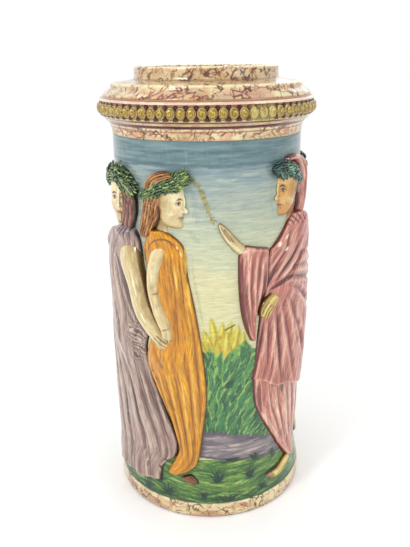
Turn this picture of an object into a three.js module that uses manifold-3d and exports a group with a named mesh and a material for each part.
// Faience vase, 552 mm high: a turned cylinder on a foot ring, closed above by an egg moulding, a cornice
// and a neck, with draped, laurel-crowned figures standing round it in moulded relief.
// Millimetres, +Z up, the front towards -Y, the middle of the foot's underside at the origin.
// Each piece is what the potter forms by itself and lutes on with slip before the firing.

import * as THREE from 'three';
import { mergeVertices } from 'three/addons/utils/BufferGeometryUtils.js';
import Module from 'manifold-3d';

const wasm = await Module();
wasm.setup();

// Turned rings. Every radius but the wall's follows from how far a ring stands out or in from its neighbour.
const ringSegments = 40;
const slipJoint = 0.3;
const keyHeight = 4;
const keyWidth = 5.5;

const wallOuterRadius = 115;
const wallThickness = 11;
const wallInnerRadius = wallOuterRadius - wallThickness;

const footProjection = 10;
const footOuterRadius = wallOuterRadius + footProjection;
const footHeight = 22;
const footChamfer = 3;
const floorInset = 9;
const floorRadius = wallInnerRadius - floorInset;
const floorThickness = 12;
const ledgeWidth = 7;
const ledgeHeight = 6;
const footInnerRadius = floorRadius - ledgeWidth;

const fieldHeight = 428;
const bandHeight = 26;

const bankSetback = 0.8;
const bankFootRadius = footOuterRadius - bankSetback;
const bankHeight = 58;
const bankLip = 0.8;
const bankSteps = 3;

const architraveHeight = 14;
const architraveFace = 6;
const architraveProjection = 0.4;
const architraveRadius = wallOuterRadius + architraveProjection;
const architraveFlare = 3.6;

const mouldingHeight = 29;
const ovoloProjection = 14.6;
const ovoloRadius = wallOuterRadius + ovoloProjection;
const ovoloRise = 16;
const ovoloFlat = 14;
const ovoloQuirk = 4.6;
const eggCount = 72;
const eggWidth = 9.6;
const eggHeight = 13;
const eggProud = 2.9;
const eggSunk = 0.5;

const corniceHeight = 18;
const corniceFootRadius = ovoloRadius - ovoloQuirk;
const corniceOgeeDepth = 10.4;
const corniceShelfRadius = corniceFootRadius - corniceOgeeDepth;
const corniceFaceHeight = 14.4;
const corniceOgeeSteps = 4;
const corniceEdgeRounding = 1.6;

const neckHeight = 15;
const neckInset = 26;
const neckInnerRadius = wallInnerRadius - neckInset;
const neckThickness = 8.2;
const neckOuterRadius = neckInnerRadius + neckThickness;
const neckFlare = 2;
const neckFlareHeight = 4;
const neckLip = 2;
const neckKeyWidth = 3.5;

// Levels, from the ground up
const bankFoot = footHeight;
const bankTop = footHeight + bankHeight;
const wallTop = footHeight + fieldHeight + bandHeight;
const mouldingFoot = wallTop + architraveHeight;
const corniceFoot = mouldingFoot + mouldingHeight;
const neckFoot = corniceFoot + corniceHeight;
const rimTop = neckFoot + neckHeight;

// Relief. The figures are drawn on a field 428 mm high, which starts 22 mm above the ground, and stretched
// to the field that the vase has. A drawn point is [degrees from the front towards +X, millimetres up].
const drawnFoot = 22;
const drawnField = 428;
const rootDepth = 7;
const robeDepth = 10.5;
const robeEdge = 3.2;
const limbToe = 0.8;
const limbEndShare = 0.12;
const headHeight = 64;
const headFlattening = 0.62;
const headSink = 3;
const leafLength = 15;
const leafWidth = 5.2;
const leafThickness = 4;
const footFlatness = 5;

const glaze = {
  marble: '#d9c49a',
  clay: '#c9a27c',
  grass: '#5e8a3a',
  sky: '#b7c0a4',
  egg: '#c6b53a',
  skin: '#d6bf86',
  tannedSkin: '#c99a58',
  laurel: '#3f6a38',
  mauve: '#a98c80',
  mauveHair: '#8a5544',
  orange: '#cf7f16',
  orangeHair: '#a8622c',
  pink: '#c98370',
  cream: '#dccfae',
  ochre: '#bd9638',
  slate: '#7d8f92',
  brown: '#6b3f28',
  yellow: '#c9a83a',
};

const radians = THREE.MathUtils.degToRad;
const atHeight = (drawn) => footHeight + ((drawn - drawnFoot) * fieldHeight) / drawnField;
const alongWall = (degrees) => radians(degrees) * wallOuterRadius;

// Solids

function solid(geometry) {
  const plain = geometry.clone();
  plain.deleteAttribute('normal');
  plain.deleteAttribute('uv');
  const merged = mergeVertices(plain);
  const corners = merged.index.array;
  const kept = [];
  for (let i = 0; i < corners.length; i += 3) {
    const [a, b, c] = corners.slice(i, i + 3);
    if (a !== b && b !== c && c !== a) {
      kept.push(a, b, c);
    }
  }
  const vertProperties = new Float32Array(merged.attributes.position.array);
  return new wasm.Manifold(new wasm.Mesh({ numProp: 3, vertProperties, triVerts: new Uint32Array(kept) }));
}

// The largest piece of a cut solid: the rest are crumbs that the potter wipes away.
function largest(shape) {
  const pieces = shape.decompose();
  return pieces.reduce((best, piece) => (piece.volume() > best.volume() ? piece : best));
}

function cutBy(shape, cutters) {
  return cutters.reduce((rest, cutter) => rest.subtract(cutter), shape);
}

// A ring or disc from its section, [radius, height] points anticlockwise from the inside foot.
function turned(section, segments = ringSegments) {
  const outline = section.map(([radius, height]) => new THREE.Vector2(radius, height));
  if (section[0][0] > 0) {
    outline.push(outline[0].clone());
  }
  return solid(new THREE.LatheGeometry(outline, segments).rotateX(Math.PI / 2));
}

// Two stacked rings are keyed: a low collar on the lower one stands in a rebate of the upper one.
const collar = (level, inner, width) => [
  [inner + width, level],
  [inner + width, level + keyHeight],
  [inner, level + keyHeight],
];
const rebate = (level, inner, width) => [
  [inner, level + keyHeight + slipJoint],
  [inner + width + slipJoint, level + keyHeight + slipJoint],
  [inner + width + slipJoint, level],
];

// The pieces of the pot

function footRing() {
  return turned([
    [footInnerRadius, 0],
    [footOuterRadius - footChamfer, 0],
    [footOuterRadius, footChamfer],
    [footOuterRadius, footHeight],
    ...collar(footHeight, wallInnerRadius, keyWidth),
    [wallInnerRadius, footHeight],
    [floorRadius + slipJoint, footHeight],
    [floorRadius + slipJoint, ledgeHeight],
    [footInnerRadius, ledgeHeight],
  ]);
}

function floorSlab() {
  return turned([
    [0, ledgeHeight],
    [floorRadius, ledgeHeight],
    [floorRadius, ledgeHeight + floorThickness],
    [0, ledgeHeight + floorThickness],
  ]);
}

function bodyWall() {
  return turned([
    ...rebate(footHeight, wallInnerRadius, keyWidth),
    [wallOuterRadius, footHeight],
    [wallOuterRadius, wallTop],
    [wallInnerRadius, wallTop],
  ]);
}

// The bank of ground under the figures' feet is a hollow slope from the foot's edge to the wall.
function bankSlope() {
  const topRadius = wallOuterRadius + slipJoint + bankLip;
  const points = [];
  for (let i = 0; i <= bankSteps; i += 1) {
    const rise = i / bankSteps;
    const fall = (1 - rise) ** 1.25;
    points.push([topRadius + (bankFootRadius - topRadius) * fall, bankFoot + bankHeight * rise]);
  }
  return points;
}

function groundBank() {
  return turned([
    [wallOuterRadius + slipJoint, bankFoot],
    ...bankSlope(),
    [wallOuterRadius + slipJoint, bankTop],
  ]);
}

function architraveRing() {
  return turned([
    [wallInnerRadius, wallTop],
    [architraveRadius, wallTop],
    [architraveRadius, wallTop + architraveFace],
    [architraveRadius + architraveFlare / 3, (wallTop + architraveFace + mouldingFoot) / 2],
    [architraveRadius + architraveFlare, mouldingFoot],
    [wallInnerRadius, mouldingFoot],
  ]);
}

// An egg is a ridged oval boss, taller than it is wide.
function egg(index) {
  const shape = new THREE.SphereGeometry(1, 4, 3);
  shape.rotateX(Math.PI / 2);
  shape.scale(eggWidth / 2 / Math.sin(Math.PI / 3), eggProud / Math.sin(Math.PI / 3), eggHeight / 2);
  shape.translate(0, -(ovoloRadius - eggSunk), mouldingFoot + ovoloRise);
  shape.rotateZ(radians((360 * (index + 0.5)) / eggCount));
  return solid(shape);
}

// The egg moulding has one facet behind each egg.
function beadMoulding() {
  const ring = turned([
    [wallInnerRadius, mouldingFoot],
    [architraveRadius + architraveFlare, mouldingFoot],
    [ovoloRadius - ovoloQuirk, mouldingFoot + ovoloRise - ovoloFlat / 2 - ovoloQuirk],
    [ovoloRadius, mouldingFoot + ovoloRise - ovoloFlat / 2],
    [ovoloRadius, mouldingFoot + ovoloRise + ovoloFlat / 2],
    [corniceFootRadius, corniceFoot - ovoloQuirk / 3],
    [corniceFootRadius, corniceFoot],
    [wallInnerRadius, corniceFoot],
  ], eggCount);
  const eggs = Array.from({ length: eggCount }, (_, index) => egg(index));
  return eggs.reduce((joined, shape) => joined.add(shape), ring);
}

// The cornice climbs in an ogee, out at the foot and in at the top, to a rounded edge and a sloping shelf. A
// lip under it stands inside the moulding.
function corniceRing() {
  const lipRadius = wallInnerRadius - 2 * slipJoint;
  const ogee = [];
  for (let i = 0; i <= corniceOgeeSteps; i += 1) {
    const rise = i / corniceOgeeSteps;
    const inward = rise - Math.sin(2 * Math.PI * rise) / (2.4 * Math.PI);
    const radius = corniceFootRadius + (corniceShelfRadius - corniceFootRadius) * inward;
    ogee.push([radius, corniceFoot + (corniceFaceHeight - corniceEdgeRounding) * rise]);
  }
  return turned([
    [neckInnerRadius, corniceFoot],
    [lipRadius - keyWidth, corniceFoot],
    [lipRadius - keyWidth, corniceFoot - keyHeight],
    [lipRadius, corniceFoot - keyHeight],
    [lipRadius, corniceFoot],
    ...ogee,
    [corniceShelfRadius - corniceEdgeRounding, corniceFoot + corniceFaceHeight],
    [neckOuterRadius + neckFlare, neckFoot],
    ...collar(neckFoot, neckInnerRadius, neckKeyWidth),
  ]);
}

function neckCollar() {
  return turned([
    ...rebate(neckFoot, neckInnerRadius, neckKeyWidth),
    [neckOuterRadius + neckFlare, neckFoot],
    [neckOuterRadius, neckFoot + neckFlareHeight],
    [neckOuterRadius, rimTop - neckLip],
    [neckOuterRadius - neckLip, rimTop],
    [neckInnerRadius + neckLip, rimTop],
    [neckInnerRadius, rimTop - neckLip],
  ]);
}

// What the relief is pressed on: the outside of the wall and the bank, with the slip joint added.
const seatOfRelief = turned([
  [0, 0],
  [footOuterRadius + slipJoint, 0],
  [footOuterRadius + slipJoint, footHeight + slipJoint],
  ...bankSlope().map(([radius, height]) => [radius + slipJoint, height + slipJoint]),
  [wallOuterRadius + slipJoint, bankTop + slipJoint],
  [wallOuterRadius + slipJoint, wallTop],
  [0, wallTop],
]);

function groundRadius(level) {
  const slope = bankSlope();
  for (let i = 1; i < slope.length; i += 1) {
    const [upperRadius, upperLevel] = slope[i];
    const [lowerRadius, lowerLevel] = slope[i - 1];
    if (level < upperLevel) {
      const share = Math.max(0, (level - lowerLevel) / (upperLevel - lowerLevel));
      return lowerRadius + (upperRadius - lowerRadius) * share;
    }
  }
  return wallOuterRadius;
}

// Relief is made flat, x along the wall, y outwards from it and z up, and then bent round the wall. Seen from
// outside, that turns the sheet's hand, so each face is turned over as well.
function bend(geometry) {
  const position = geometry.attributes.position;
  if (!geometry.index) {
    geometry.setIndex(Array.from({ length: position.count }, (_, corner) => corner));
  }
  const corners = geometry.index.array;
  for (let i = 0; i < corners.length; i += 3) {
    [corners[i + 1], corners[i + 2]] = [corners[i + 2], corners[i + 1]];
  }
  for (let i = 0; i < position.count; i += 1) {
    const angle = position.getX(i) / wallOuterRadius;
    const radius = wallOuterRadius + position.getY(i);
    position.setXYZ(i, radius * Math.sin(angle), -radius * Math.cos(angle), position.getZ(i));
  }
  return geometry;
}

const drawnPoint = ([degrees, height]) => new THREE.Vector2(alongWall(degrees), atHeight(height));

// The two edges of a pressed patch, in rows from its top, moved out by the margin on every side.
function edgesOf({ left, right, rows }, margin) {
  const lefts = new THREE.SplineCurve(left.map(drawnPoint)).getSpacedPoints(rows);
  const rights = new THREE.SplineCurve(right.map(drawnPoint)).getSpacedPoints(rows);
  const middle = (row) => lefts[row].clone().add(rights[row]).multiplyScalar(0.5);
  const upward = middle(0).sub(middle(1)).setLength(margin || 1e-9);
  const downward = middle(rows).sub(middle(rows - 1)).setLength(margin || 1e-9);
  lefts.forEach((point, row) => {
    const outward = point.clone().sub(rights[row]).setLength(margin || 1e-9);
    point.add(outward);
    rights[row].sub(outward);
  });
  [lefts[0], rights[0]].forEach((point) => point.add(upward));
  [lefts[rows], rights[rows]].forEach((point) => point.add(downward));
  return { lefts, rights };
}

// A pressed patch: a sheet between two edges that stands out from the ground by swell(across, down).
function patch(shape, margin = 0) {
  const { rows, columns, swell } = shape;
  const { lefts, rights } = edgesOf(shape, margin);
  const positions = [];
  const addSheet = (outwards) => {
    for (let row = 0; row <= rows; row += 1) {
      for (let column = 0; column <= columns; column += 1) {
        const across = column / columns;
        const point = lefts[row].clone().lerp(rights[row], across);
        positions.push(point.x, outwards(across, row / rows, point.y), point.y);
      }
    }
  };
  addSheet((across, down, level) => groundRadius(level) - wallOuterRadius + swell(across, down) + margin);
  addSheet(() => -rootDepth);
  const width = columns + 1;
  const back = width * (rows + 1);
  const faces = [];
  const addQuad = (a, b, c, d) => faces.push(a, c, b, a, d, c);
  for (let row = 0; row < rows; row += 1) {
    for (let column = 0; column < columns; column += 1) {
      const corner = row * width + column;
      addQuad(corner, corner + width, corner + width + 1, corner + 1);
      addQuad(back + corner, back + corner + 1, back + corner + width + 1, back + corner + width);
    }
    const start = row * width;
    const end = start + columns;
    addQuad(start, back + start, back + start + width, start + width);
    addQuad(end, end + width, back + end + width, back + end);
  }
  for (let column = 0; column < columns; column += 1) {
    const top = column;
    const foot = rows * width + column;
    addQuad(top, top + 1, back + top + 1, back + top);
    addQuad(foot, back + foot, back + foot + 1, foot + 1);
  }
  const geometry = new THREE.BufferGeometry();
  geometry.setAttribute('position', new THREE.Float32BufferAttribute(positions, 3));
  geometry.setIndex(faces);
  return solid(bend(geometry));
}

const smooth = (value, from, to) => THREE.MathUtils.smoothstep(value, from, to);

// Cloth swells from its edges to a crown at its own share of the way across, and falls in folds that
// fade in below the shoulders.
function cloth({ depth = robeDepth, crown = 0.5, folds = 3, foldDepth = 1.6, lean = 0, shift = 0 }) {
  const skew = Math.log(0.5) / Math.log(crown);
  return (across, down) => {
    const swell = Math.sin(Math.PI * THREE.MathUtils.clamp(across, 0, 1) ** skew) ** 0.6;
    const fold = Math.cos(2 * Math.PI * (folds * across + lean * down + shift));
    const fade = smooth(down, 0.05, 0.35) * swell;
    return robeEdge + (depth - robeEdge) * swell + foldDepth * fold * fade;
  };
}

// A limb has a round back, lies on what is behind it by its lift and comes down to the wall at its ends.
function limb({ lift, rise }) {
  return (across, down) => {
    const back = Math.sqrt(Math.max(0, 1 - (2 * across - 1) ** 2));
    const end = Math.min(1, down / limbEndShare, (1 - down) / limbEndShare);
    const rounding = Math.sqrt(Math.max(0, 1 - (1 - end) ** 2));
    return limbToe + (lift - limbToe + rise * back) * rounding;
  };
}

// Heads are of one kind, with plain proportions in shares of the head's height, the chin at the foot:
// [across, forward, up], then the half sizes the same way.
const headForms = [
  { centre: [0, -0.05, 0.13], half: [0.33, 0.4, 0.37], around: 8, up: 6 },
  { centre: [0, 0.12, -0.14], half: [0.26, 0.26, 0.36], around: 8, up: 5 },
  { centre: [0, 0.36, -0.07], half: [0.06, 0.13, 0.13], around: 4, up: 3 },
  { centre: [0, -0.1, -0.5], half: [0.18, 0.2, 0.4], around: 6, up: 3 },
];

function head({ at, turn, tilt = 0, size = 1 }, margin = 0) {
  const tall = headHeight * size;
  const middle = drawnPoint(at);
  const forms = headForms.map(({ centre, half, around, up }) => {
    const form = new THREE.SphereGeometry(1, around, up);
    form.rotateX(Math.PI / 2);
    form.scale(...half.map((share) => share * tall + margin));
    form.translate(...centre.map((share) => share * tall));
    form.rotateZ(radians(-turn));
    form.rotateY(radians(tilt));
    form.scale(1, headFlattening, 1);
    form.translate(middle.x, -headSink, middle.y);
    return solid(bend(form));
  });
  return forms.reduce((joined, form) => joined.add(form));
}

// A wreath is a twisted band with laurel leaves in two rows that lean along it.
function wreath({ path, pairs, width, lift, rise = 2.5 }, margin = 0) {
  const curve = new THREE.SplineCurve(path.map(drawnPoint));
  const leaves = [];
  const steps = 4;
  const bandEdges = (side) =>
    curve.getSpacedPoints(steps).map((point, step) => {
      const along = curve.getTangentAt(step / steps);
      const out = side * (width / 2 + margin);
      return [point.x - along.y * out, point.y + along.x * out];
    });
  const upper = bandEdges(1);
  const lower = bandEdges(-1);
  const shape = new THREE.Shape([...upper, ...lower.reverse()].map(([x, z]) => new THREE.Vector2(x, z)));
  const band = new THREE.ExtrudeGeometry(shape, { depth: rootDepth + lift + margin, bevelEnabled: false });
  band.rotateX(Math.PI / 2);
  band.translate(0, lift + margin, 0);
  leaves.push(solid(bend(band)));
  for (let pair = 0; pair < pairs; pair += 1) {
    for (const side of [-1, 1]) {
      const place = (pair + 0.5 + side * 0.18) / pairs;
      const centre = curve.getPointAt(THREE.MathUtils.clamp(place, 0.02, 0.98));
      const along = curve.getTangentAt(THREE.MathUtils.clamp(place, 0.02, 0.98));
      const leaf = new THREE.OctahedronGeometry(1);
      leaf.scale(leafLength / 2 + margin, leafThickness + margin, leafWidth / 2 + margin);
      leaf.rotateY(-Math.atan2(along.y, along.x) - side * radians(32));
      const out = (width / 2) * 0.75 * side;
      leaf.translate(centre.x - along.y * out, lift + rise - leafThickness / 2, centre.y + along.x * out);
      leaves.push(solid(bend(leaf)));
    }
  }
  return leaves.reduce((joined, leaf) => joined.add(leaf));
}

const makers = { patch, head, wreath };

// The pieces of the relief, each resting on those before it that it covers. A piece is cut by the seat and,
// with the slip joint left between, by the pieces named in its over list.
const pressed = new Map();
const parts = new Map();
const cutMargin = slipJoint * 2;

function press(name, colour, kind, shape, over = []) {
  const under = over.map((other) => pressed.get(other).cutter());
  const formed = makers[kind](shape);
  parts.set(name, { colour, shape: largest(cutBy(formed, [seatOfRelief, ...under])) });
  pressed.set(name, { cutter: () => makers[kind](shape, cutMargin) });
}

// The mauve figure looks out to the left, her bare arm hanging across the next robe.
press('mauve_figure_robe', glaze.mauve, 'patch', {
  left: [[-62, 372], [-77, 362], [-91, 348], [-99, 318], [-100, 270], [-98, 210], [-94, 150], [-87, 105],
    [-80, 68], [-71, 40]],
  right: [[-50, 378], [-44, 366], [-41.5, 345], [-41, 310], [-37, 262], [-41, 222], [-36, 186],
    [-27, 142], [-21.5, 112], [-20.3, 98], [-22, 82], [-30, 66], [-32, 42]],
  rows: 10,
  columns: 13,
  swell: cloth({ depth: 13, crown: 0.3, folds: 3.5, foldDepth: 2, lean: -0.5, shift: 0.1 }),
});
press('mauve_figure_head', glaze.skin, 'head', { at: [-65, 407], turn: 38 }, ['mauve_figure_robe']);
press('mauve_figure_hair', glaze.mauveHair, 'patch', {
  left: [[-64, 436], [-58, 424], [-56, 405], [-57, 390], [-60, 374]],
  right: [[-51, 438], [-46, 424], [-44, 408], [-44.5, 390], [-49, 369]],
  rows: 6,
  columns: 4,
  swell: limb({ lift: 4, rise: 5 }),
}, ['mauve_figure_robe', 'mauve_figure_head']);
press('mauve_figure_wreath', glaze.laurel, 'wreath', {
  path: [[-90, 418], [-78, 425], [-62, 432.5], [-50, 425], [-43.5, 415]],
  pairs: 4,
  width: 24,
  lift: 9,
}, ['mauve_figure_head', 'mauve_figure_hair']);

// The orange figure stands in profile to the right, her long hair down her back.
press('orange_figure_robe', glaze.orange, 'patch', {
  left: [[-33, 378], [-39.5, 358], [-38.5, 325], [-36.5, 290], [-36, 250], [-41, 212], [-34, 176],
    [-25, 134], [-20.3, 102], [-21, 88], [-27.5, 60]],
  right: [[-27, 377], [-20, 371], [-13.5, 357], [-11.8, 325], [-8.5, 290], [-5.7, 255], [-2.8, 210],
    [-1.8, 165], [-4, 125], [-7, 82], [-11, 68], [-20, 58]],
  rows: 11,
  columns: 11,
  swell: cloth({ folds: 3, foldDepth: 1.5, lean: 0.25 }),
}, ['mauve_figure_robe']);
press('orange_figure_head', glaze.skin, 'head', {
  at: [-24, 411],
  turn: 66,
  tilt: 5,
  size: 0.95,
}, ['orange_figure_robe']);
press('orange_figure_hair', glaze.orangeHair, 'patch', {
  left: [[-17, 441], [-22, 444], [-28, 443], [-33.5, 436], [-37, 422], [-37.5, 402], [-39.5, 384],
    [-41, 366]],
  right: [[-14, 437], [-20, 431], [-25, 421], [-26.5, 405], [-27, 394], [-30, 380], [-35, 366]],
  rows: 7,
  columns: 3,
  swell: limb({ lift: 5, rise: 6 }),
}, ['mauve_figure_robe', 'orange_figure_robe', 'orange_figure_head']);
press('orange_figure_wreath', glaze.laurel, 'wreath', {
  path: [[-37, 413], [-32, 418.5], [-24, 427], [-17, 433.5], [-10, 440.5]],
  pairs: 4,
  width: 18,
  lift: 10,
}, ['orange_figure_head', 'orange_figure_hair', 'mauve_figure_wreath', 'mauve_figure_hair']);
press('orange_figure_arm', glaze.skin, 'patch', {
  left: [[-31, 364], [-34, 347.5], [-35.7, 332], [-36.3, 317], [-35.8, 301], [-33, 278], [-30.4, 265],
    [-28, 255], [-27, 238]],
  right: [[-20.5, 365], [-21.5, 356], [-24, 343], [-26.2, 327.5], [-27, 312], [-26.5, 300],
    [-23.8, 281.5], [-20.8, 267], [-19.5, 254], [-20.5, 236]],
  rows: 7,
  columns: 4,
  swell: limb({ lift: 5, rise: 10 }),
}, ['mauve_figure_robe', 'orange_figure_robe']);
press('orange_figure_foot', glaze.brown, 'patch', {
  left: [[-19, 55], [-15, 50], [-11, 46]],
  right: [[-12, 61], [-9, 55], [-6.5, 48]],
  rows: 4,
  columns: 4,
  swell: limb({ lift: 2, rise: footFlatness }),
}, ['orange_figure_robe']);
press('mauve_figure_arm', glaze.skin, 'patch', {
  left: [[-62.5, 355], [-61.5, 336], [-56.5, 319], [-52, 300], [-49, 279], [-45.5, 265], [-40, 252],
    [-33, 239], [-29, 231], [-23, 228]],
  right: [[-46, 360], [-42, 345], [-40.5, 328], [-38.5, 311], [-36, 291], [-33.3, 277], [-29.8, 264.5],
    [-26, 253], [-20.5, 238]],
  rows: 7,
  columns: 4,
  swell: limb({ lift: 5, rise: 10 }),
}, [
  'mauve_figure_robe',
  'orange_figure_robe',
  'mauve_figure_hair',
  'orange_figure_hair',
  'orange_figure_arm',
]);

// The pink figure wears a tunic, a mantle drawn up over the head and a long hanging sleeve, and raises
// one hand.
press('pink_figure_tunic', glaze.pink, 'patch', {
  left: [[27, 190], [27.5, 167], [29, 148], [33.5, 128], [37.6, 113], [42, 98.6], [48, 78.6], [54, 60],
    [58, 52]],
  right: [[88, 192], [87, 150], [82, 112], [75, 92], [70, 76], [64, 54]],
  rows: 7,
  columns: 9,
  swell: cloth({ depth: 8, folds: 2.5, foldDepth: 1.2 }),
});
press('pink_figure_mantle', glaze.pink, 'patch', {
  left: [[57, 386], [50.5, 371], [44.5, 360], [40, 352], [36.5, 344], [35.5, 312], [32, 280], [29.5, 240],
    [28, 205], [26, 186]],
  right: [[64, 388], [80, 378], [92, 356], [97, 320], [95, 270], [91, 225], [84, 180], [78, 152]],
  rows: 10,
  columns: 12,
  swell: cloth({ depth: 15, crown: 0.68, folds: 3.5, foldDepth: 2, lean: 0.4, shift: 0.5 }),
}, ['pink_figure_tunic']);
press('pink_figure_sleeve', glaze.pink, 'patch', {
  left: [[21.5, 359], [17.3, 349], [16.8, 335], [17, 312], [18.3, 282], [21, 258], [25, 239]],
  right: [[37, 352], [37, 338], [35.5, 306], [29.5, 278], [28, 240]],
  rows: 7,
  columns: 7,
  swell: cloth({ depth: 9, folds: 2, foldDepth: 1.4 }),
}, ['pink_figure_mantle']);
press('pink_figure_raised_hand', glaze.skin, 'patch', {
  left: [[5, 384.5], [6.3, 376], [8.4, 368], [11.1, 360.5], [14.6, 352.5], [18.5, 347]],
  right: [[6.5, 387.5], [9.7, 382], [13.2, 374.5], [16.7, 366.5], [20.5, 359], [22, 354]],
  rows: 6,
  columns: 4,
  swell: limb({ lift: 1.5, rise: 4 }),
}, ['pink_figure_sleeve']);
press('pink_figure_lowered_hand', glaze.yellow, 'patch', {
  left: [[38, 297], [32.5, 290], [30, 282], [29.5, 273], [31, 267]],
  right: [[44.5, 290], [41, 279], [37.5, 270.5], [34.7, 266]],
  rows: 6,
  columns: 5,
  swell: limb({ lift: 5, rise: 7 }),
}, ['pink_figure_mantle', 'pink_figure_sleeve']);
press('pink_figure_head', glaze.tannedSkin, 'head', {
  at: [55, 418],
  turn: -68,
  tilt: -3,
}, ['pink_figure_mantle']);
press('pink_figure_hood', glaze.pink, 'patch', {
  left: [[49, 448], [57, 447], [64, 438], [66.5, 420], [66, 400], [63, 388], [58, 380]],
  right: [[50, 454], [60, 455], [72, 448], [79, 430], [80, 410], [77, 392], [70, 378]],
  rows: 7,
  columns: 3,
  swell: limb({ lift: 4, rise: 6 }),
}, ['pink_figure_mantle', 'pink_figure_head']);
press('pink_figure_wreath', glaze.laurel, 'wreath', {
  path: [[38.7, 441.5], [46.3, 440], [54.4, 434.5], [62.5, 424.5]],
  pairs: 4,
  width: 16,
  lift: 10,
}, ['pink_figure_head', 'pink_figure_hood']);
press('pink_figure_foot', glaze.yellow, 'patch', {
  left: [[58, 57], [51, 53], [45, 48], [39, 46.5], [35.5, 45]],
  right: [[61, 47], [53, 42], [47, 37], [41, 37], [37, 40]],
  rows: 5,
  columns: 4,
  swell: limb({ lift: 2, rise: footFlatness }),
}, ['pink_figure_tunic']);

// Three more figures from one mould stand round the back, each [name, glaze, hair glaze, degrees, facing].
const backFigures = [
  ['cream', glaze.cream, glaze.orangeHair, 104, -1],
  ['ochre', glaze.ochre, glaze.mauveHair, 161, 1],
  ['slate', glaze.slate, glaze.orangeHair, 218, -1],
];

function pressBackFigure([name, robeGlaze, hairGlaze, degrees, facing]) {
  const turnedPoints = (points) => points.map(([angle, height]) => [degrees + facing * angle, height]);
  const sides = (first, second) => {
    const [left, right] = facing > 0 ? [first, second] : [second, first];
    return { left: turnedPoints(left), right: turnedPoints(right) };
  };
  const robe = `${name}_figure_robe`;
  const face = `${name}_figure_head`;
  const hair = `${name}_figure_hair`;
  press(robe, robeGlaze, 'patch', {
    ...sides(
      [[-7, 374], [-14, 352], [-15, 300], [-13, 250], [-16, 190], [-18, 120], [-16, 46]],
      [[6, 374], [13, 354], [14, 300], [12, 250], [15, 190], [17, 120], [13, 46]],
    ),
    rows: 8,
    columns: 9,
    swell: cloth({ folds: 2.5, foldDepth: 1.5, lean: 0.3 }),
  }, ['pink_figure_mantle', 'pink_figure_tunic']);
  press(face, glaze.skin, 'head', { at: [degrees, 408], turn: 40 * facing }, [robe, 'pink_figure_mantle']);
  press(hair, hairGlaze, 'patch', {
    ...sides(
      [[2, 448], [-9, 442], [-12, 420], [-12, 398], [-13, 376]],
      [[4, 437], [-3, 431], [-6, 415], [-6, 398], [-7, 378]],
    ),
    rows: 5,
    columns: 3,
    swell: limb({ lift: 5, rise: 5 }),
  }, [robe, face]);
  press(`${name}_figure_wreath`, glaze.laurel, 'wreath', {
    path: turnedPoints(facing > 0
      ? [[-13, 424], [-6, 435], [4, 437], [12, 430]]
      : [[12, 430], [4, 437], [-6, 435], [-13, 424]]),
    pairs: 4,
    width: 13,
    lift: 10,
  }, [face, hair, 'pink_figure_mantle']);
  press(`${name}_figure_arm`, glaze.skin, 'patch', {
    ...sides(
      [[-11, 352], [-12, 325], [-10, 300], [-2, 285], [6, 286]],
      [[-4, 358], [-5, 330], [-3, 308], [2, 298], [7, 296]],
    ),
    rows: 5,
    columns: 4,
    swell: limb({ lift: 5, rise: 9 }),
  }, [robe]);
}
backFigures.forEach(pressBackFigure);

// Assembly

const finish = { roughness: 0.22, metalness: 0 };

function mesh(name, colour, shape) {
  const { vertProperties, triVerts } = shape.getMesh();
  const geometry = new THREE.BufferGeometry();
  geometry.setAttribute('position', new THREE.Float32BufferAttribute(vertProperties, 3));
  geometry.setIndex(Array.from(triVerts));
  geometry.computeVertexNormals();
  const built = new THREE.Mesh(geometry, new THREE.MeshStandardMaterial({ color: colour, ...finish }));
  built.name = name;
  return built;
}

const pot = new THREE.Group();
pot.add(
  mesh('foot_ring', glaze.marble, footRing()),
  mesh('floor_slab', glaze.clay, floorSlab()),
  mesh('body_wall', glaze.sky, bodyWall()),
  mesh('ground_bank', glaze.grass, groundBank()),
  mesh('architrave_ring', glaze.marble, architraveRing()),
  mesh('bead_moulding', glaze.egg, beadMoulding()),
  mesh('cornice_ring', glaze.marble, corniceRing()),
  mesh('neck_collar', glaze.marble, neckCollar()),
);

const relief = new THREE.Group();
parts.forEach(({ colour, shape }, name) => relief.add(mesh(name, colour, shape)));

const vase = new THREE.Group();
vase.add(pot, relief);

export default vase;
